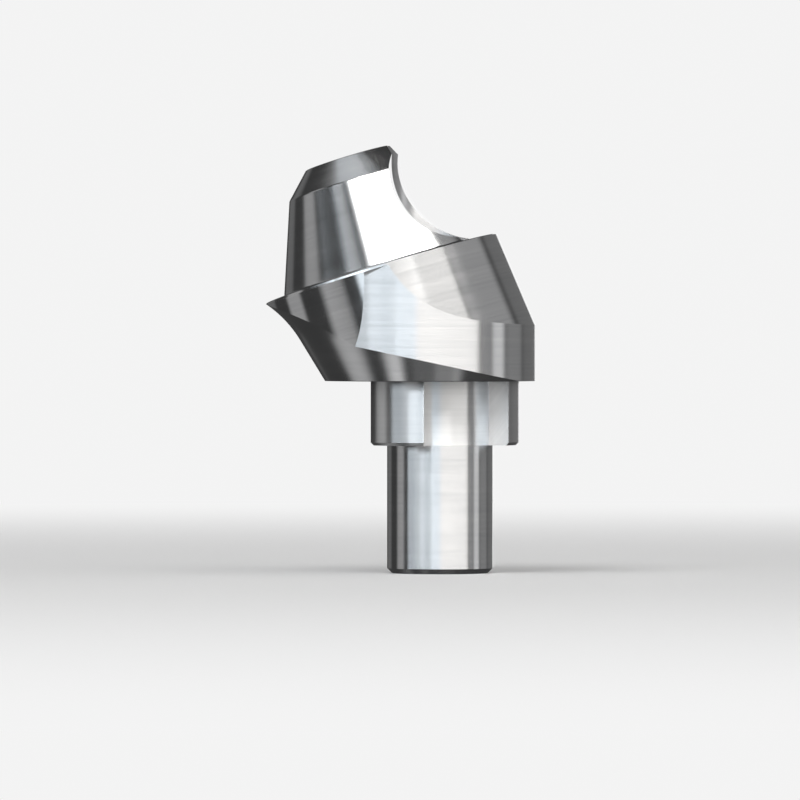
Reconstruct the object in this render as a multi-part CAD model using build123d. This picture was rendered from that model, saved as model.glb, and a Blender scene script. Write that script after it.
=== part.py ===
"""Angled multi-unit dental abutment with a three-lobed internal connection.

One machined titanium piece. Millimetres, +Z up along the implant axis, with the
origin where that axis meets the underside of the body, which sits on the implant.
The cone for the bridge leans by the tilt angle towards -X, in the plane Y = 0.
"""
from build123d import *

import math
import os

# Tilted axis of the cone
tilt = 17.0                    # degrees between the implant axis and the cone's axis
pivot_depth = 1.6              # the two axes cross this far under the seat
platform_distance = 4.0        # from that crossing to the platform, along the tilted axis

# Platform and cone, measured along the tilted axis
platform_radius = 2.40         # standard 4.8 mm platform
rim_land = 0.05                # plain edge of the platform
cone_base_radius = 2.02
cone_half_angle = 20.0
cone_height = 2.30
bevel_start = 1.81             # height at which the 45 degree bevel begins
cone_root_fillet = 0.08

# Collar between the platform and the implant
blank_flare = 6.1              # degrees by which the turned blank widens downwards
relief_radius = 2.26           # tilted cylinder left on the high side of the collar
flank_radius = 2.385           # vertical milled flank on the low side of the collar
seat_radius = 2.11             # underside that sits on the implant
seat_shift = 0.18              # the underside reaches this much further to the high side
flare_angle = 31.0             # degrees from the axis, lower part of the emergence flare
flare_straight = 0.80          # height of that straight part
flare_end_height = 1.56        # where the curved part reaches the platform's edge
flare_end_radius = 3.33

# Three-lobed index and pilot
lobe_count = 3
lobe_radius = 1.57
lobe_height = 1.27
lobe_tip_half_angle = 24.5     # degrees, on the lobe radius
lobe_root_half_angle = 16.0    # degrees, on the pilot radius
lobe_edge = 0.06               # chamfer of the lower outer edge
pilot_radius = 1.05
pilot_length = 3.81            # from the seat to the end of the pilot
pilot_chamfer = 0.10

# Screw channel along the implant axis
channel_radius = 1.05          # clears the head of the abutment screw
head_seat_height = 0.90        # rim of the conical seat under the screw's head
head_seat_half_angle = 45.0
shank_radius = 0.80
bore_lead = 0.06               # chamfer where the bore leaves the pilot

# Saddle that lets the screwdriver in beside the cone
saddle_radius = 1.50           # runs across, tangent to the platform
saddle_position = 2.30         # tangent line, from the tilted axis

# Hole for the bridge screw along the tilted axis
thread_radius = 0.60           # tapped hole, at the crests of the thread
thread_depth = 1.50
thread_lead = 0.10             # countersink at the mouth
drill_point_half_angle = 59.0

# Lengths by which a cutter runs past what it cuts
run_out = 3.0

tilted = Plane(
    origin=(
        -platform_distance * math.sin(math.radians(tilt)),
        0,
        platform_distance * math.cos(math.radians(tilt)) - pivot_depth,
    ),
    x_dir=(math.cos(math.radians(tilt)), 0, math.sin(math.radians(tilt))),
    z_dir=(-math.sin(math.radians(tilt)), 0, math.cos(math.radians(tilt))),
)
# The tilted axis meets the seat here, and the milled flank is centred on it.
flank_centre = -pivot_depth * math.tan(math.radians(tilt))
body_height = tilted.origin.Z + platform_radius


def turned(*points):
    """A solid of revolution about Z from (radius, height) corners."""
    outline = Plane.XZ * make_face(Polyline(*points, close=True))
    return revolve(outline, Axis.Z)


def cone():
    """The cone with its bevelled top, standing on the platform."""
    bevel_radius = cone_base_radius - bevel_start * math.tan(math.radians(cone_half_angle))
    top_radius = bevel_radius - (cone_height - bevel_start)
    solid = turned(
        (0, -rim_land),
        (platform_radius, -rim_land),
        (platform_radius, 0),
        (cone_base_radius, 0),
        (bevel_radius, bevel_start),
        (top_radius, cone_height),
        (0, cone_height),
    )
    root = [e for e in solid.edges().filter_by(GeomType.CIRCLE)
            if abs(e.radius - cone_base_radius) < 1e-6 and abs(e.center().Z) < 1e-6]
    return tilted * fillet(root, cone_root_fillet)


def saddle_cutter():
    """A round cutter laid across the cone, tangent to the platform."""
    across = Cylinder(saddle_radius, 2 * platform_radius, rotation=(90, 0, 0))
    return tilted * Pos(saddle_position, 0, saddle_radius) * across


def collar():
    """The milled body between the platform and the seat."""
    depth = platform_distance
    foot_radius = platform_radius + depth * math.tan(math.radians(blank_flare))
    blank = tilted * turned((0, 0), (platform_radius, 0), (foot_radius, -depth), (0, -depth))
    flank = Pos(flank_centre, 0, 0) * Cylinder(
        flank_radius, body_height, align=(Align.CENTER, Align.CENTER, Align.MIN))
    relief = tilted * Pos(relief_radius - platform_radius, 0, -depth) * Cylinder(
        relief_radius, depth, align=(Align.CENTER, Align.CENTER, Align.MIN))
    return ((blank & flank) + relief) & emergence_flare()


def emergence_flare():
    """Everything inside the flared surface that rises from the implant."""
    knee = (seat_radius + flare_straight * math.tan(math.radians(flare_angle)), flare_straight)
    end = (flare_end_radius, flare_end_height)
    slope = (math.sin(math.radians(flare_angle)), math.cos(math.radians(flare_angle)))
    outside = flare_end_radius + run_out
    outline = (
        Line((seat_radius, 0), knee)
        + TangentArc(knee, end, tangent=slope)
        + Polyline(end, (outside, flare_end_height), (outside, body_height),
                   (0, body_height), (0, 0), (seat_radius, 0))
    )
    solid = revolve(Plane.XZ * make_face(outline), Axis.Z)
    return Pos(-seat_shift, 0, 0) * solid


def lobed_index():
    """A turned collar with tapered grooves milled down to the pilot."""
    ring = turned(
        (0, 0),
        (lobe_radius, 0),
        (lobe_radius, lobe_edge - lobe_height),
        (lobe_radius - lobe_edge, -lobe_height),
        (0, -lobe_height),
    )
    half_pitch = 180.0 / lobe_count
    inner = math.radians(half_pitch - lobe_root_half_angle)
    outer = math.radians(half_pitch - lobe_tip_half_angle)
    inner_point = Vector(pilot_radius * math.cos(inner), pilot_radius * math.sin(inner))
    outer_point = Vector(lobe_radius * math.cos(outer), lobe_radius * math.sin(outer))
    wall = outer_point - inner_point
    far_point = outer_point + wall * (run_out / wall.length)
    groove = extrude(
        make_face(Polyline(
            (inner_point.X, inner_point.Y), (far_point.X, far_point.Y),
            (far_point.X, -far_point.Y), (inner_point.X, -inner_point.Y), close=True)),
        amount=-lobe_height)
    for index in range(lobe_count):
        ring -= Rot(0, 0, half_pitch + index * 2 * half_pitch) * groove
    return ring + pilot()


def pilot():
    """The round spigot that centres the abutment in the implant."""
    return turned(
        (0, 0),
        (pilot_radius, 0),
        (pilot_radius, pilot_chamfer - pilot_length),
        (pilot_radius - pilot_chamfer, -pilot_length),
        (0, -pilot_length),
    )


def screw_channel():
    """Cutter for the head channel, the conical head seat and the shank bore."""
    step = channel_radius - shank_radius
    seat_floor = head_seat_height - step / math.tan(math.radians(head_seat_half_angle))
    top = body_height + cone_height
    return turned(
        (0, -pilot_length),
        (shank_radius + bore_lead, -pilot_length),
        (shank_radius, bore_lead - pilot_length),
        (shank_radius, seat_floor),
        (channel_radius, head_seat_height),
        (channel_radius, top),
        (0, top),
    )


def bridge_screw_hole():
    """Cutter for the tapped hole along the tilted axis, with its drill point."""
    floor = cone_height - thread_depth
    tip = floor - thread_radius / math.tan(math.radians(drill_point_half_angle))
    return tilted * turned(
        (0, tip),
        (thread_radius, floor),
        (thread_radius, cone_height - thread_lead),
        (thread_radius + thread_lead, cone_height),
        (0, cone_height),
    )


def abutment():
    """The whole abutment as one solid."""
    body = cone() - saddle_cutter()
    body = body + collar() + lobed_index()
    body = body - screw_channel() - bridge_screw_hole()
    return body.solid()


os.makedirs("parts", exist_ok=True)
export_step(abutment(), "parts/abutment_body.step")
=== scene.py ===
import math

import bpy
from mathutils import Matrix, Vector


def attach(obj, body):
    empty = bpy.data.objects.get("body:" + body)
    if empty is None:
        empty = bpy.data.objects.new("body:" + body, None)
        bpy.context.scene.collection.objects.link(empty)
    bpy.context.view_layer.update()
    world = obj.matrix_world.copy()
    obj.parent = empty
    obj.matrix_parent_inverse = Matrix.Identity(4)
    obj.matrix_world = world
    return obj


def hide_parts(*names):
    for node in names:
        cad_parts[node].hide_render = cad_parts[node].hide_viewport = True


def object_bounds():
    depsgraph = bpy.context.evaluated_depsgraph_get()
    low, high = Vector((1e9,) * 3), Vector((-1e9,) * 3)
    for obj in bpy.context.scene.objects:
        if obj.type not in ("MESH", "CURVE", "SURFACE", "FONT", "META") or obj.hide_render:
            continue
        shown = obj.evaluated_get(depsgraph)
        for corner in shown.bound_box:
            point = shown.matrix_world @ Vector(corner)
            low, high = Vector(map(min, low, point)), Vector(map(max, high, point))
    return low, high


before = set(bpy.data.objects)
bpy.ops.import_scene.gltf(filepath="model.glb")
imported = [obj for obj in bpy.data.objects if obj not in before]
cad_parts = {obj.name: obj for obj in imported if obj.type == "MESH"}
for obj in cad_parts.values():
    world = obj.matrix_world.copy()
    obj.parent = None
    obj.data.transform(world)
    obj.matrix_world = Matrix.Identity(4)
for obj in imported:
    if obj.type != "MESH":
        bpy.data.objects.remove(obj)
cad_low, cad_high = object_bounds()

MM = 0.001                         # drawn in millimetres, and scaled to metres at the end
STEPS = 256                        # facets round a turned surface
COARSE_STEPS = 64                  # facets round a cutter whose wall leaves no mark
ROOT_STEPS = 6                     # facets of the fillet at the root of the cone
ARC_STEPS = 16                     # facets of the flare's arc, and across a lobe
THREAD_STEPS = 96                  # facets in a turn of the thread
ON_AXIS = 1e-6                     # a point nearer than this lies on its axis

# Driving dimensions, in millimetres and degrees, as the part has them
tilt = 17.0                        # between the implant's axis and the cone's axis
pivot_depth = 1.6                  # the two axes cross this far under the seat
platform_distance = 4.0            # from that crossing to the platform, along the tilted axis
platform_radius = 2.40
rim_land = 0.05                    # plain edge of the platform
cone_base_radius = 2.02
cone_half_angle = 20.0
cone_height = 2.30
bevel_start = 1.81                 # height at which the cone's bevel begins
cone_root_fillet = 0.08
blank_flare = 6.1                  # the turned blank widens downwards by this angle
relief_radius = 2.26               # tilted cylinder on the high side of the collar
flank_radius = 2.385               # upright cylinder on the low side of the collar
seat_radius = 2.11                 # underside that sits on the implant
seat_shift = 0.18                  # the underside reaches this much further to the high side
flare_angle = 31.0                 # from the axis, on the straight lower part of the flare
flare_straight = 0.80              # height of that straight part
flare_end_height = 1.56            # where the curved part reaches the platform's edge
flare_end_radius = 3.33
lobe_count = 3
lobe_radius = 1.57
lobe_height = 1.27
lobe_tip_half_angle = 24.5         # on the lobe's radius
lobe_root_half_angle = 16.0        # on the pilot's radius
lobe_edge = 0.06                   # chamfer of the lower outer edge
pilot_radius = 1.05
pilot_length = 3.81                # from the seat to the end of the pilot
pilot_chamfer = 0.10
channel_radius = 1.05              # clears the head of the abutment screw
head_seat_height = 0.90            # rim of the conical seat under the screw's head
head_seat_half_angle = 45.0
shank_radius = 0.80
bore_lead = 0.06                   # chamfer where the bore leaves the pilot
saddle_radius = 1.50               # runs across, tangent to the platform
saddle_position = 2.30             # tangent line, from the tilted axis
thread_radius = 0.60               # tapped hole, at the crests of the thread
thread_depth = 1.50
thread_lead = 0.10                 # countersink at the mouth
drill_point_half_angle = 59.0

# Fine detail that the part leaves out
thread_pitch = 0.20
thread_height = 0.09
thread_half_width = 0.45           # of a tooth at its foot, as a share of the pitch
thread_overlap = 0.05              # the teeth start this far inside the hole
edge_break = 0.012                 # deburring takes this much off turned edges

# How far cutters and joined pieces run on
root_depth = 0.4                   # the index and the pilot run this far up into the body
lobe_overlap = 0.2                 # the lobes run this far into the pilot
reach = 9.0                        # cutters run this far past the body
slab_radius = 6.3                  # of the cutter round the collar
cutter_depth = 10.8                # the cutters of the flank and the relief run down this far

# Camera, as the photograph sees the abutment
view_azimuth = 6.5                 # degrees round towards the low side
view_height = 0.5                  # degrees above the level
view_distance = 180.0
view_target = Vector((-0.789, -0.090, -0.377))
view_width = 15.873                # what the picture's width takes in at the target

# Axes of the turned surfaces
upright = Matrix.Identity(4)
tilted = Matrix.Translation((
    -platform_distance * math.sin(math.radians(tilt)), 0,
    platform_distance * math.cos(math.radians(tilt)) - pivot_depth,
)) @ Matrix.Rotation(math.radians(-tilt), 4, "Y")
flank_axis = Matrix.Translation((-pivot_depth * math.tan(math.radians(tilt)), 0, 0))
flare_axis = Matrix.Translation((-seat_shift, 0, 0))
relief_axis = tilted @ Matrix.Translation((relief_radius - platform_radius, 0, 0))
saddle_axis = (tilted @ Matrix.Translation((saddle_position, 0, saddle_radius))
               @ Matrix.Rotation(math.pi / 2, 4, "X"))

# Finishes: the axis of the cut, roughness, anisotropy, and pitch of the marks in millimetres
FINISHES = {
    "turned_cone": (tilted, 0.18, 0.70, 0.05),
    "turned_skirt": (tilted, 0.14, 0.60, 0.05),
    "milled_flank": (flank_axis, 0.24, 0.94, 0.06),
    "milled_relief": (relief_axis, 0.11, 0.50, 0.06),
    "turned_flare": (flare_axis, 0.20, 0.80, 0.05),
    "turned_index": (upright, 0.32, 1.0, 0.06),
    "turned_pilot": (upright, 0.24, 0.94, 0.06),
    "milled_groove": (upright, 0.45, 0, 0.06),
    "milled_saddle": (saddle_axis, 0.12, 0.30, 0.06),
    "reamed_bore": (upright, 0.30, 0.50, 0.05),
}

# Darkest and lightest tone of the metal, and a lighter copy for the index, which meets the implant,
# and its grooves: painted light that stands in for the light the overhanging collar keeps off them
METAL = (0.655, 0.66, 0.67, 1), (0.785, 0.785, 0.79, 1)
PAINTED_LIGHT_METAL = (0.85, 0.855, 0.86, 1), (0.96, 0.96, 0.965, 1)
PAINTED_LIGHT_FINISHES = ("turned_index", "milled_groove")

# How the marks, the haze and the edges show
MARK_DEPTH = 0.001                 # millimetres
MARK_STRENGTH = 0.5
LINE_TONE = 0.5                    # shares of the fine lines and the streaks in the tone
STREAK_TONE = 0.5
TONE_RANGE = (0.3, 0.7)            # mask values of the darkest and the lightest metal
STREAK_ROUGHNESS = 0.06            # how much the streaks and the haze change the roughness
HAZE_ROUGHNESS = 0.04
HAZE_SIZE = 0.9                    # millimetres
EDGE_WIDTH = 0.03                  # millimetres that deburring reaches in from an edge
EDGE_TONE = 0.25                   # the edges are lighter by this
EDGE_POLISH = 0.05                 # the edges are smoother by this
FLAT, WORN = 0.995, 0.93           # cosines of how far an edge turns the normal
QUARTER_TURN = 0.25                # from along the marks to across them

# Colours of the studio's lights
WARM = (1.0, 0.985, 0.96)
COOL = (0.86, 0.94, 1.0)
SKY = (0.93, 0.97, 1.0)
WHITE = (1, 1, 1)

# Soft windows of light that the metal mirrors: azimuth and height of the middle, half width and
# half height, softness of the edge, all in degrees from the camera, then brightness and colour
LIGHTS = [
    ("key_high", 25.5, 52.5, 52, 15, 5, 8.0, WARM),
    ("key_shoulder", 33, 30, 25, 8, 4, 0.90, WARM),
    ("key_middle", 12, 13, 32, 4, 2, 6.0, WARM),
    ("key_front", 11, 13, 3, 17, 3, 1.25, WARM),
    ("key_level", 41, 22, 3, 17, 4, 1.35, WARM),
    ("cool_shoulder", -10, 14, 32, 4, 2, 6.0, COOL),
    ("cool_front", -8, 12, 3, 17, 3, 1.25, COOL),
    ("cool_middle", -35, 14, 17, 5, 3, 6.0, COOL),
    ("cool_level", -32, 19, 9, 5.5, 3, 1.9, COOL),
    ("cool_side", -62, 13, 7, 5.5, 2, 2.5, COOL),
    ("left_strip", -97, 11, 10, 60, 4, 0.36, WHITE),
    ("near_left_strip", -46, 13, -21, 17, 6, 0.42, WHITE),
    ("left_streak", -45, 8, 33, 5, 3, 0.38, WHITE),
    ("left_far", -146, 14, 5, 20, 6, 0.15, WHITE),
    ("right_fill", 91, 28, 36, 26, 8, 0.34, WHITE),
    ("right_gap", 71, 6, 3, 17, 3, 0.35, WHITE),
    ("right_strip", 86, 8, 0, 12, 4, 0.9, WHITE),
    ("right_side", 110, 14, 0, 20, 6, 0.26, WHITE),
    ("right_far", 143, 20, 10, 25, 8, 0.17, WHITE),
    ("back", 171, 8, 5, 12, 3, 1.1, WHITE),
    ("top", -98, 52, 70, 14, 6, 0.62, SKY),
    ("zenith", 0, 180, 90, 9, 3, 0.62, SKY),
    ("low_far_left", -101, 13, -42, 12, 4, 0.5, WHITE),
    ("low_left", -54, 11, -58, 9, 4, 0.8, WHITE),
    ("low_middle", -12, 20, -62, 12, 6, 0.15, WHITE),
    ("low_front", 20, 16, -62, 12, 5, 0.28, WHITE),
    ("low_right", 40, 7, -60, 10, 4, 0.45, WHITE),
]
SURROUND = 0.05                    # brightness between the windows
DOME_RADIUS = 150.0                # millimetres
PAPER = 0.90                       # tone of the background
ROOM_LIGHT = 0.5                   # strength of the room's light on what isn't a mirror
FLOOR_SIZE = 900.0                 # half width, millimetres
FLOOR_TONE = 0.8
FLOOR_ROUGHNESS = 0.9
FADE_START = 8.0                   # the floor fades into the background from here, in millimetres
FADE_END = 70.0
SENSOR_WIDTH = 36                  # of the camera, millimetres

surfaces = []                      # finish, axis, slope and arc centre of each surface drawn


def add_surface(finish, axis=None, along=None, centre=None):
    """Notes a surface, so that its true normals can be worked out once the solid is cut."""
    surfaces.append((finish, axis, along, centre))
    return len(surfaces) - 1


def true_normal(label, point):
    """The exact normal at a point of a turned surface, or None on a flat one."""
    _, axis, along, centre = surfaces[label]
    if axis is None:
        return None
    local = axis.inverted() @ point
    radius = math.hypot(local.x, local.y)
    if centre is not None:
        out, up = radius - centre[0], local.z - centre[1]
    else:
        out, up = along[1], -along[0]
    if radius < ON_AXIS:
        return axis.to_3x3() @ Vector((0, 0, 1))
    normal = Vector((out * local.x / radius, out * local.y / radius, up))
    return axis.to_3x3() @ normal.normalized()


def draw(name, vertices, faces, labels):
    """A mesh object whose faces carry the number of the surface that they lie on."""
    mesh = bpy.data.meshes.new(name)
    mesh.from_pydata(vertices, [], faces)
    mesh.polygons.foreach_set("material_index", labels)
    made = bpy.data.objects.new(name, mesh)
    bpy.context.scene.collection.objects.link(made)
    return made


def straight(finish, *points):
    """Runs of a turned profile from point to point, each a surface of its own."""
    return [(finish, [start, end], None) for start, end in zip(points, points[1:])]


def curved(finish, centre, start, end, count):
    """A round run of a profile about a centre, the short way from start to end."""
    radius = math.dist(centre, start)
    first = math.atan2(start[1] - centre[1], start[0] - centre[0])
    turn = math.atan2(end[1] - centre[1], end[0] - centre[0]) - first
    turn = (turn + math.pi) % (2 * math.pi) - math.pi
    angles = [first + turn * k / count for k in range(count + 1)]
    points = [(centre[0] + radius * math.cos(a), centre[1] + radius * math.sin(a))
              for a in angles]
    return [(finish, points, centre)]


def turned(name, axis, runs, steps=STEPS):
    """A closed solid of revolution from the runs of its profile, foot to top, with flat ends."""
    points, labels = [runs[0][1][0]], []
    for finish, run, centre in runs:
        along = (run[-1][0] - run[0][0], run[-1][1] - run[0][1])
        label = add_surface(finish, axis, along, centre)
        points += run[1:]
        labels += [label] * (len(run) - 1)
    vertices, rings = [], []
    for radius, height in points:
        count = 1 if radius < ON_AXIS else steps
        rings.append(range(len(vertices), len(vertices) + count))
        for k in range(count):
            angle = 2 * math.pi * (k + 0.5) / steps
            x, y = radius * math.cos(angle), radius * math.sin(angle)
            vertices.append(axis @ Vector((x, y, height)))
    faces, face_labels = [], []
    for low, high, label in zip(rings, rings[1:], labels):
        if len(low) == 1 or len(high) == 1:
            faces.append(tuple(high)[::-1] if len(low) == 1 else tuple(low))
            face_labels.append(label)
            continue
        for k in range(steps):
            after = (k + 1) % steps
            faces.append((low[k], low[after], high[after], high[k]))
            face_labels.append(label)
    return draw(name, vertices, faces, face_labels)


def rod(name, axis, finish, radius, low, high, steps=STEPS):
    """A round bar along an axis."""
    runs = straight(finish, (0, low), (radius, low), (radius, high), (0, high))
    return turned(name, axis, runs, steps)


def combine(body, tool, operation):
    """Cuts, joins or intersects body with tool, and removes tool."""
    for one in (body, tool):
        while len(one.data.materials) < len(surfaces):
            one.data.materials.append(None)
    step = body.modifiers.new("step", "BOOLEAN")
    step.operation = operation
    step.solver = "EXACT"
    step.object = tool
    bpy.context.view_layer.update()
    result = body.evaluated_get(bpy.context.evaluated_depsgraph_get())
    mesh = bpy.data.meshes.new_from_object(result)
    body.modifiers.clear()
    body.data = mesh
    bpy.data.objects.remove(tool)
    return body


def blank():
    """The turned blank: the flared foot, the platform, the cone and its bevelled top."""
    slope = math.radians(cone_half_angle)
    bevel_radius = cone_base_radius - bevel_start * math.tan(slope)
    top_radius = bevel_radius - (cone_height - bevel_start)
    foot_radius = platform_radius + platform_distance * math.tan(math.radians(blank_flare))
    root = (cone_base_radius + cone_root_fillet * (1 - math.sin(slope)) / math.cos(slope),
            cone_root_fillet)
    root_end = (root[0] - cone_root_fillet * math.cos(slope),
                root[1] - cone_root_fillet * math.sin(slope))
    break_out = edge_break * math.sin(slope)
    break_up = edge_break * math.cos(slope)
    lean = edge_break * math.sin(math.pi / 4)
    runs = straight("turned_skirt", (0, -platform_distance), (foot_radius, -platform_distance),
                    (platform_radius, -edge_break))
    runs += straight("turned_cone", (platform_radius, -edge_break),
                     (platform_radius - edge_break, 0), (root[0], 0))
    runs += curved("turned_cone", root, (root[0], 0), root_end, ROOT_STEPS)
    runs += straight("turned_cone", root_end,
                     (bevel_radius + break_out, bevel_start - break_up),
                     (bevel_radius - lean, bevel_start + lean),
                     (top_radius + lean, cone_height - lean),
                     (top_radius - edge_break, cone_height),
                     (0, cone_height))
    return turned("blank", tilted, runs)


def collar_cutter():
    """What the mills take off below the platform, outside the flank and the relief."""
    slab = rod("slab", tilted, "turned_cone", slab_radius, -reach, -rim_land, COARSE_STEPS)
    flank = rod("flank", flank_axis, "milled_flank", flank_radius, -cutter_depth, reach)
    relief = rod("relief", relief_axis, "milled_relief", relief_radius, -cutter_depth, reach)
    combine(slab, flank, "DIFFERENCE")
    return combine(slab, relief, "DIFFERENCE")


def emergence_flare():
    """The space inside the flared surface that rises from the implant."""
    lean = math.radians(flare_angle)
    knee = (seat_radius + flare_straight * math.tan(lean), flare_straight)
    end = (flare_end_radius, flare_end_height)
    across = (math.cos(lean), -math.sin(lean))
    step = (end[0] - knee[0], end[1] - knee[1])
    radius = (step[0] ** 2 + step[1] ** 2) / (2 * (step[0] * across[0] + step[1] * across[1]))
    centre = (knee[0] + radius * across[0], knee[1] + radius * across[1])
    runs = straight("turned_flare", (0, 0), (seat_radius - edge_break, 0),
                    (seat_radius, edge_break), knee)
    runs += curved("turned_flare", centre, knee, end, ARC_STEPS)
    runs += straight("turned_flare", end, (reach, flare_end_height), (reach, reach), (0, reach))
    return turned("flare", flare_axis, runs)


def pilot():
    """The spigot, with the finish of the index where it lies between the lobes."""
    runs = straight("turned_pilot", (0, -pilot_length),
                    (pilot_radius - pilot_chamfer, -pilot_length),
                    (pilot_radius, pilot_chamfer - pilot_length), (pilot_radius, -lobe_height))
    runs += straight("turned_index", (pilot_radius, -lobe_height),
                     (pilot_radius, root_depth), (0, root_depth))
    return turned("pilot", upright, runs)


def lobe(turn):
    """One lobe of the index, with flat tapered flanks and a chamfered lower edge."""
    tip, root = math.radians(lobe_tip_half_angle), math.radians(lobe_root_half_angle)
    arc = add_surface("turned_index", upright, (0, 1))
    chamfer = add_surface("turned_index", upright, (lobe_edge, lobe_edge))
    flat = add_surface("milled_groove")
    corners = []
    for side in (1, -1):
        outer = Vector((lobe_radius * math.cos(tip), side * lobe_radius * math.sin(tip)))
        inner = Vector((pilot_radius * math.cos(root), side * pilot_radius * math.sin(root)))
        corners.append((outer, inner, (inner - outer).normalized()))
    buried = [inner + along * lobe_overlap for outer, inner, along in corners]

    def ring(radius, height):
        # Where the lobe's flank meets a circle of this radius
        outer, _, along = corners[0]
        middle = outer.dot(along)
        half_chord = math.sqrt(middle ** 2 - outer.length_squared + radius ** 2)
        meet = outer + along * (-middle - half_chord)
        half = math.atan2(meet.y, meet.x)
        angles = [half * (2 * k / ARC_STEPS - 1) for k in range(ARC_STEPS + 1)]
        points = [(radius * math.cos(a), radius * math.sin(a)) for a in angles]
        points += [tuple(buried[0]), tuple(buried[1])]
        return [turn @ Vector((x, y, height)) for x, y in points]

    rings = [ring(lobe_radius - lobe_edge, -lobe_height),
             ring(lobe_radius, lobe_edge - lobe_height),
             ring(lobe_radius, root_depth)]
    size = len(rings[0])
    vertices = [v for one in rings for v in one]
    faces = [tuple(range(size))[::-1], tuple(range(2 * size, 3 * size))]
    labels = [flat, flat]
    for level, round_label in ((0, chamfer), (1, arc)):
        for k in range(size):
            after = (k + 1) % size
            low, high = level * size, (level + 1) * size
            faces.append((low + k, low + after, high + after, high + k))
            labels.append(round_label if k < ARC_STEPS else flat)
    return draw("lobe", vertices, faces, labels)


def screw_channel():
    """Cutter for the head channel, the conical head seat and the shank bore."""
    step = channel_radius - shank_radius
    seat_floor = head_seat_height - step / math.tan(math.radians(head_seat_half_angle))
    return turned("channel", upright, straight(
        "reamed_bore", (0, -reach), (shank_radius + bore_lead, -reach),
        (shank_radius + bore_lead, -pilot_length), (shank_radius, bore_lead - pilot_length),
        (shank_radius, seat_floor), (channel_radius, head_seat_height),
        (channel_radius, reach), (0, reach)))


def bridge_screw_hole():
    """Cutter for the tapped hole along the tilted axis. Its flat floor shades as a drill point."""
    floor = cone_height - thread_depth
    tip = floor - thread_radius / math.tan(math.radians(drill_point_half_angle))
    return turned("hole", tilted, straight(
        "reamed_bore", (0, tip), (thread_radius, floor),
        (thread_radius, cone_height - thread_lead),
        (thread_radius + 2 * thread_lead, cone_height + thread_lead),
        (thread_radius + 2 * thread_lead, reach), (0, reach)))


def thread_cutter():
    """A coil of the tap's teeth, which grow over its first turn, one pitch above the floor."""
    low = cone_height - thread_depth + thread_pitch
    turns = (thread_depth - thread_lead) / thread_pitch
    count = int(THREAD_STEPS * turns)
    flat = add_surface("reamed_bore")
    half = thread_half_width * thread_pitch
    foot = thread_radius - thread_overlap
    vertices, faces = [], []
    for k in range(count + 1):
        angle = 2 * math.pi * k / THREAD_STEPS
        height = low + thread_pitch * k / THREAD_STEPS
        crest = thread_radius + thread_height * min(1.0, k / THREAD_STEPS)
        for radius, rise in ((foot, -half), (crest, 0), (foot, half)):
            x, y = radius * math.cos(angle), radius * math.sin(angle)
            vertices.append(tilted @ Vector((x, y, height + rise)))
    for k in range(count):
        here, after = 3 * k, 3 * k + 3
        for i, j in ((0, 1), (1, 2), (2, 0)):
            faces.append((here + i, after + i, after + j, here + j))
    faces += [(0, 1, 2), (3 * count + 2, 3 * count + 1, 3 * count)]
    return draw("thread", vertices, faces, [flat] * len(faces))


def set_true_normals(mesh):
    """Gives each face corner the exact normal of the surface that it lies on."""
    normals = [None] * len(mesh.loops)
    for face in mesh.polygons:
        for corner in face.loop_indices:
            point = mesh.vertices[mesh.loops[corner].vertex_index].co
            normal = true_normal(face.material_index, point) or face.normal
            normals[corner] = normal if normal.dot(face.normal) > 0 else -normal
    mesh.shade_smooth()
    mesh.normals_split_custom_set(normals)


def abutment():
    """The whole abutment, cut and joined from its blank, with its finishes."""
    body = blank()
    combine(body, rod("saddle", saddle_axis, "milled_saddle", saddle_radius,
                      -2 * platform_radius, 2 * platform_radius), "DIFFERENCE")
    combine(body, collar_cutter(), "DIFFERENCE")
    combine(body, emergence_flare(), "INTERSECT")
    combine(body, pilot(), "UNION")
    for k in range(lobe_count):
        combine(body, lobe(Matrix.Rotation(2 * math.pi * k / lobe_count, 4, "Z")), "UNION")
    combine(body, screw_channel(), "DIFFERENCE")
    combine(body, bridge_screw_hole(), "DIFFERENCE")
    combine(body, thread_cutter(), "DIFFERENCE")
    mesh = body.data
    mesh.validate()
    set_true_normals(mesh)
    order = list(FINISHES)
    finishes = [order.index(surfaces[face.material_index][0]) for face in mesh.polygons]
    mesh.materials.clear()
    effects = tool_marks_group(), haze_group(), edge_group()
    for finish in FINISHES:
        mesh.materials.append(titanium(finish, *effects))
    mesh.polygons.foreach_set("material_index", finishes)
    mesh.transform(Matrix.Scale(MM, 4))
    body.name = "abutment"
    mesh.name = "abutment"
    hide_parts("abutment_body")
    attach(body, "root")


def new_group(name, inputs, outputs):
    """An empty shader node group, with its input and output nodes."""
    group = bpy.data.node_groups.new(name, "ShaderNodeTree")
    for socket, kind in inputs.items():
        group.interface.new_socket(socket, in_out="INPUT", socket_type="NodeSocket" + kind)
    for socket, kind in outputs.items():
        group.interface.new_socket(socket, in_out="OUTPUT", socket_type="NodeSocket" + kind)
    return group, group.nodes.new("NodeGroupInput"), group.nodes.new("NodeGroupOutput")


def noise(tree, place, detail, roughness=0.5):
    """Even noise that changes over about one unit of its place."""
    node = tree.nodes.new("ShaderNodeTexNoise")
    node.inputs["Scale"].default_value = 1.0
    node.inputs["Detail"].default_value = detail
    node.inputs["Roughness"].default_value = roughness
    tree.links.new(place, node.inputs["Vector"])
    return node.outputs[0]


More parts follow.
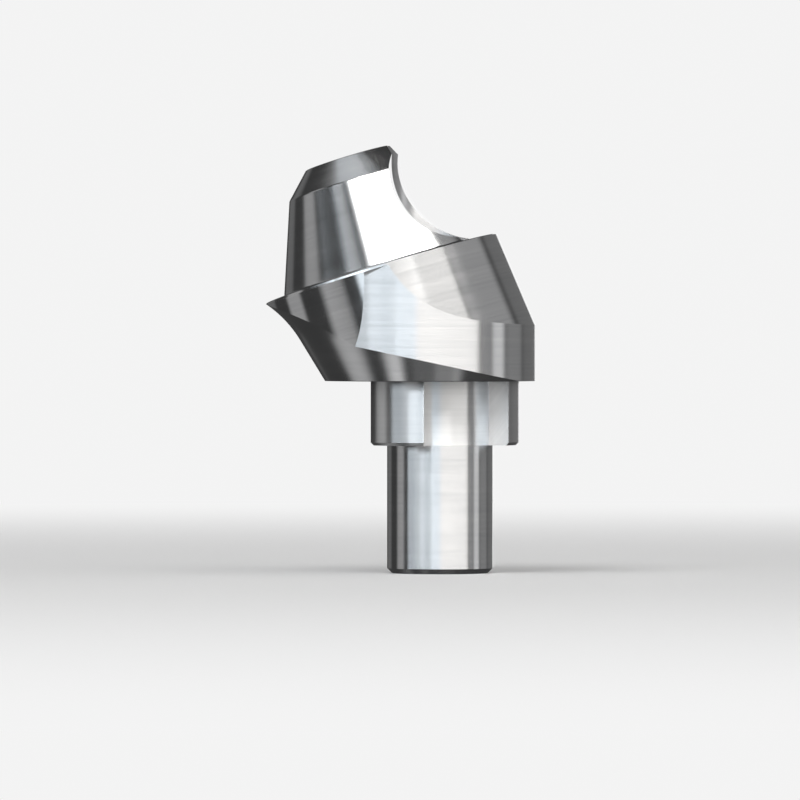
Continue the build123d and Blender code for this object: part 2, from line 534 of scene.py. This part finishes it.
def tool_marks_group():
    """Fine lines round an axis, as a turning or milling tool leaves them."""
    group, inputs, outputs = new_group(
        "tool marks", {"Place": "Vector", "Pitch": "Float"}, {"Lines": "Float", "Streaks": "Float"})
    parts = group.nodes.new("ShaderNodeSeparateXYZ")
    group.links.new(inputs.outputs["Place"], parts.inputs[0])
    x, y, z = parts.outputs
    radius = maths(group, "SQRT", maths(group, "ADD", maths(group, "MULTIPLY", x, x),
                                        maths(group, "MULTIPLY", y, y)))
    travel = maths(group, "DIVIDE", maths(group, "SUBTRACT", z, radius), inputs.outputs["Pitch"])
    turn = maths(group, "ARCTAN2", y, x)
    # How fast each kind changes across the marks, in pitches, and round the axis, in radians
    for output, across, along in (("Lines", 1.0, 0.7), ("Streaks", 0.18, 0.3)):
        place = group.nodes.new("ShaderNodeCombineXYZ")
        group.links.new(maths(group, "MULTIPLY", travel, across), place.inputs[0])
        group.links.new(maths(group, "MULTIPLY", turn, along), place.inputs[1])
        marks = noise(group, place.outputs[0], detail=3.0, roughness=0.6)
        group.links.new(marks, outputs.inputs[output])
    return group


def haze_group():
    """Soft clouds, as handling and cleaning leave them on bare metal."""
    group, inputs, outputs = new_group(
        "haze", {"Place": "Vector", "Size": "Float"}, {"Cloud": "Float"})
    scaled = group.nodes.new("ShaderNodeVectorMath")
    scaled.operation = "DIVIDE"
    group.links.new(inputs.outputs["Place"], scaled.inputs[0])
    group.links.new(inputs.outputs["Size"], scaled.inputs[1])
    group.links.new(noise(group, scaled.outputs[0], detail=2.0), outputs.inputs["Cloud"])
    return group


def edge_group():
    """A mask of the edges, where deburring has left the metal smoother."""
    group, inputs, outputs = new_group("edge wear", {"Width": "Float"}, {"Edge": "Float"})
    rounded = group.nodes.new("ShaderNodeBevel")
    rounded.samples = 4
    group.links.new(inputs.outputs["Width"], rounded.inputs["Radius"])
    geometry = group.nodes.new("ShaderNodeNewGeometry")
    dot = group.nodes.new("ShaderNodeVectorMath")
    dot.operation = "DOT_PRODUCT"
    group.links.new(rounded.outputs[0], dot.inputs[0])
    group.links.new(geometry.outputs["Normal"], dot.inputs[1])
    ramp = group.nodes.new("ShaderNodeMapRange")
    ramp.inputs["From Min"].default_value = FLAT
    ramp.inputs["From Max"].default_value = WORN
    group.links.new(dot.outputs["Value"], ramp.inputs["Value"])
    group.links.new(ramp.outputs[0], outputs.inputs["Edge"])
    return group


def plug(tree, socket, value):
    """Gives a socket a plain number, or the output of another node."""
    if isinstance(value, (int, float)):
        socket.default_value = value
    else:
        tree.links.new(value, socket)


def maths(tree, operation, *values):
    """The output of one sum on numbers or on other nodes' outputs."""
    node = tree.nodes.new("ShaderNodeMath")
    node.operation = operation
    for socket, value in zip(node.inputs, values):
        plug(tree, socket, value)
    return node.outputs[0]


def place_effect(tree, group, values):
    """A copy of a node group with its own values, by the names of its inputs."""
    node = tree.nodes.new("ShaderNodeGroup")
    node.node_tree = group
    for name, value in values.items():
        plug(tree, node.inputs[name], value)
    return node.outputs


def titanium(name, tool_marks, haze, edge_wear):
    """The metal with one of its finishes."""
    axis, roughness, anisotropy, pitch = FINISHES[name]
    made = bpy.data.materials.new(name)
    made.use_nodes = True
    tree = made.node_tree
    shader = tree.nodes["Principled BSDF"]
    shader.inputs["Metallic"].default_value = 1
    shader.inputs["Anisotropic"].default_value = anisotropy
    shader.inputs["Anisotropic Rotation"].default_value = QUARTER_TURN

    # The marks run round the axis, so the gloss is drawn out across them
    geometry = tree.nodes.new("ShaderNodeNewGeometry")
    cross = tree.nodes.new("ShaderNodeVectorMath")
    cross.operation = "CROSS_PRODUCT"
    cross.inputs[0].default_value = axis.to_3x3() @ Vector((0, 0, 1))
    tree.links.new(geometry.outputs["Normal"], cross.inputs[1])
    tree.links.new(cross.outputs[0], shader.inputs["Tangent"])

    # Millimetres from the axis and along it
    where = tree.nodes.new("ShaderNodeTexCoord")
    place = tree.nodes.new("ShaderNodeMapping")
    place.vector_type = "TEXTURE"
    place.inputs["Location"].default_value = axis.translation * MM
    place.inputs["Rotation"].default_value = axis.to_euler()
    place.inputs["Scale"].default_value = (MM, MM, MM)
    tree.links.new(where.outputs["Object"], place.inputs["Vector"])

    here = place.outputs[0]
    marks = place_effect(tree, tool_marks, {"Place": here, "Pitch": pitch})
    cloud = place_effect(tree, haze, {"Place": here, "Size": HAZE_SIZE})["Cloud"]
    edge = place_effect(tree, edge_wear, {"Width": EDGE_WIDTH * MM})["Edge"]

    # Lines and streaks in the metal's tone, a little lighter on the edges
    tone = maths(tree, "MULTIPLY", marks["Lines"], LINE_TONE)
    tone = maths(tree, "MULTIPLY_ADD", marks["Streaks"], STREAK_TONE, tone)
    tone = maths(tree, "MULTIPLY_ADD", edge, EDGE_TONE, tone)
    ramp = tree.nodes.new("ShaderNodeValToRGB")
    # The index and its grooves take the lighter copy, painted light for the shade under the collar
    tones = PAINTED_LIGHT_METAL if name in PAINTED_LIGHT_FINISHES else METAL
    for stop, position, colour in zip(ramp.color_ramp.elements, TONE_RANGE, tones):
        stop.position = position
        stop.color = colour
    tree.links.new(tone, ramp.inputs[0])
    tree.links.new(ramp.outputs["Color"], shader.inputs["Base Color"])

    # The streaks and the haze change the roughness evenly about its middle
    least = roughness - 0.5 * (STREAK_ROUGHNESS + HAZE_ROUGHNESS)
    rough = maths(tree, "MULTIPLY_ADD", marks["Streaks"], STREAK_ROUGHNESS, least)
    rough = maths(tree, "MULTIPLY_ADD", cloud, HAZE_ROUGHNESS, rough)
    rough = maths(tree, "MULTIPLY_ADD", edge, -EDGE_POLISH, rough)
    tree.links.new(rough, shader.inputs["Roughness"])

    bump = tree.nodes.new("ShaderNodeBump")
    bump.inputs["Strength"].default_value = MARK_STRENGTH
    bump.inputs["Distance"].default_value = MARK_DEPTH * MM
    tree.links.new(marks["Lines"], bump.inputs["Height"])
    tree.links.new(bump.outputs[0], shader.inputs["Normal"])
    return made


def direction(azimuth, height):
    """The way from the abutment towards an azimuth and a height in degrees."""
    turn, rise = math.radians(azimuth), math.radians(height)
    level = math.cos(rise)
    return Vector((math.sin(turn) * level, -math.cos(turn) * level, math.sin(rise)))


def camera():
    """The camera, where the photograph was taken from."""
    back = direction(view_azimuth, view_height)
    data = bpy.data.cameras.new("camera")
    data.sensor_width = SENSOR_WIDTH
    data.lens = data.sensor_width * view_distance / view_width
    data.clip_start = 0.1 * view_distance * MM
    data.clip_end = 10 * view_distance * MM
    made = bpy.data.objects.new("camera", data)
    bpy.context.scene.collection.objects.link(made)
    made.location = (view_target + back * view_distance) * MM
    made.rotation_mode = "QUATERNION"
    made.rotation_quaternion = (-back).to_track_quat("-Z", "Y")
    bpy.context.scene.camera = made


def softbox_group():
    """A soft-edged window of light, by the direction that it is seen in."""
    names = dict.fromkeys(("Azimuth", "Height", "Centre Azimuth", "Half Width", "Centre Height",
                           "Half Height", "Softness"), "Float")
    group, inputs, outputs = new_group("softbox", names, {"Mask": "Float"})
    masks = []
    for angle, centre, half in (("Azimuth", "Centre Azimuth", "Half Width"),
                                ("Height", "Centre Height", "Half Height")):
        away = maths(group, "SUBTRACT", inputs.outputs[angle], inputs.outputs[centre])
        away = maths(group, "ABSOLUTE", maths(group, "WRAP", away, 180.0, -180.0))
        ramp = group.nodes.new("ShaderNodeMapRange")
        ramp.interpolation_type = "SMOOTHSTEP"
        group.links.new(away, ramp.inputs["Value"])
        for operation, limit in (("SUBTRACT", "From Min"), ("ADD", "From Max")):
            edge = maths(group, operation, inputs.outputs[half], inputs.outputs["Softness"])
            group.links.new(edge, ramp.inputs[limit])
        ramp.inputs["To Min"].default_value = 1
        ramp.inputs["To Max"].default_value = 0
        masks.append(ramp.outputs[0])
    group.links.new(maths(group, "MULTIPLY", *masks), outputs.inputs["Mask"])
    return group


def surround():
    """A dome round the studio that only the metal sees."""
    bpy.ops.mesh.primitive_uv_sphere_add(segments=96, ring_count=48, radius=DOME_RADIUS * MM)
    dome = bpy.context.object
    dome.name = "surround"
    material = bpy.data.materials.new("surround")
    material.use_nodes = True
    tree = material.node_tree
    tree.nodes.clear()
    output = tree.nodes.new("ShaderNodeOutputMaterial")
    emission = tree.nodes.new("ShaderNodeEmission")
    geometry = tree.nodes.new("ShaderNodeNewGeometry")
    unit = tree.nodes.new("ShaderNodeVectorMath")
    unit.operation = "NORMALIZE"
    tree.links.new(geometry.outputs["Position"], unit.inputs[0])
    parts = tree.nodes.new("ShaderNodeSeparateXYZ")
    tree.links.new(unit.outputs[0], parts.inputs[0])
    x, y, z = parts.outputs
    azimuth = maths(tree, "ARCTAN2", x, maths(tree, "MULTIPLY", y, -1.0))
    azimuth = maths(tree, "SUBTRACT", maths(tree, "DEGREES", azimuth), view_azimuth)
    height = maths(tree, "DEGREES", maths(tree, "ARCSINE", z))
    group = softbox_group()
    brightest = None
    for name, middle, half_width, rise, half_height, softness, brightness, colour in LIGHTS:
        mask = place_effect(tree, group, {
            "Azimuth": azimuth, "Height": height, "Centre Azimuth": middle, "Half Width": half_width,
            "Centre Height": rise, "Half Height": half_height, "Softness": softness})["Mask"]
        light = tree.nodes.new("ShaderNodeVectorMath")
        light.name = name
        light.operation = "SCALE"
        light.inputs[0].default_value = [brightness * part for part in colour]
        tree.links.new(mask, light.inputs["Scale"])
        larger = tree.nodes.new("ShaderNodeVectorMath")
        larger.operation = "MAXIMUM"
        larger.inputs[0].default_value = (SURROUND, SURROUND, SURROUND)
        if brightest is not None:
            tree.links.new(brightest, larger.inputs[0])
        tree.links.new(light.outputs[0], larger.inputs[1])
        brightest = larger.outputs[0]
    tree.links.new(brightest, emission.inputs["Color"])
    tree.links.new(emission.outputs[0], output.inputs["Surface"])
    dome.data.materials.append(material)
    dome.visible_camera = False
    dome.visible_diffuse = False
    dome.visible_shadow = False
    dome.visible_transmission = False


def floor():
    """The ground under the abutment, which fades into the background."""
    size = FLOOR_SIZE * MM
    level = cad_low.z
    mesh = bpy.data.meshes.new("floor")
    corners = [(x * size, y * size, level) for x, y in ((-1, -1), (1, -1), (1, 1), (-1, 1))]
    mesh.from_pydata(corners, [], [(0, 1, 2, 3)])
    made = bpy.data.objects.new("floor", mesh)
    bpy.context.scene.collection.objects.link(made)
    material = bpy.data.materials.new("floor")
    material.use_nodes = True
    tree = material.node_tree
    shader = tree.nodes["Principled BSDF"]
    shader.inputs["Base Color"].default_value = (FLOOR_TONE, FLOOR_TONE, FLOOR_TONE, 1)
    shader.inputs["Roughness"].default_value = FLOOR_ROUGHNESS
    output = tree.nodes["Material Output"]
    geometry = tree.nodes.new("ShaderNodeNewGeometry")
    length = tree.nodes.new("ShaderNodeVectorMath")
    length.operation = "LENGTH"
    tree.links.new(geometry.outputs["Position"], length.inputs[0])
    ramp = tree.nodes.new("ShaderNodeMapRange")
    ramp.interpolation_type = "SMOOTHSTEP"
    ramp.inputs["From Min"].default_value = FADE_START * MM
    ramp.inputs["From Max"].default_value = FADE_END * MM
    tree.links.new(length.outputs["Value"], ramp.inputs["Value"])
    paper = tree.nodes.new("ShaderNodeEmission")
    paper.inputs["Color"].default_value = (PAPER, PAPER, PAPER, 1)
    mix = tree.nodes.new("ShaderNodeMixShader")
    tree.links.new(ramp.outputs[0], mix.inputs[0])
    tree.links.new(shader.outputs[0], mix.inputs[1])
    tree.links.new(paper.outputs[0], mix.inputs[2])
    tree.links.new(mix.outputs[0], output.inputs["Surface"])
    mesh.materials.append(material)
    made.visible_glossy = False


def room():
    """The world: the background, and an even light on what isn't a mirror."""
    world = bpy.data.worlds.new("room")
    bpy.context.scene.world = world
    world.use_nodes = True
    tree = world.node_tree
    back = tree.nodes["Background"]
    path = tree.nodes.new("ShaderNodeLightPath")
    seen = maths(tree, "MAXIMUM", path.outputs["Is Camera Ray"], path.outputs["Is Glossy Ray"])
    seen = maths(tree, "MAXIMUM", seen, path.outputs["Is Transmission Ray"])
    ramp = tree.nodes.new("ShaderNodeMapRange")
    ramp.inputs["To Min"].default_value = ROOM_LIGHT
    ramp.inputs["To Max"].default_value = PAPER
    tree.links.new(seen, ramp.inputs["Value"])
    back.inputs["Color"].default_value = (1, 1, 1, 1)
    tree.links.new(ramp.outputs[0], back.inputs["Strength"])


def lamp(name, azimuth, height, distance, width, watts):
    """A square lamp for the shadow on the floor, placed in degrees from the camera."""
    data = bpy.data.lights.new(name, "AREA")
    data.size = width * MM
    data.energy = watts
    made = bpy.data.objects.new(name, data)
    bpy.context.scene.collection.objects.link(made)
    back = direction(azimuth + view_azimuth, height)
    made.location = back * distance * MM
    made.rotation_mode = "QUATERNION"
    made.rotation_quaternion = back.to_track_quat("Z", "Y")
    made.visible_camera = False
    made.visible_glossy = False


bpy.context.scene.view_settings.view_transform = "Standard"
camera()
room()
floor()
surround()
lamp("key", azimuth=-35, height=55, distance=120, width=60, watts=0.045)
abutment()
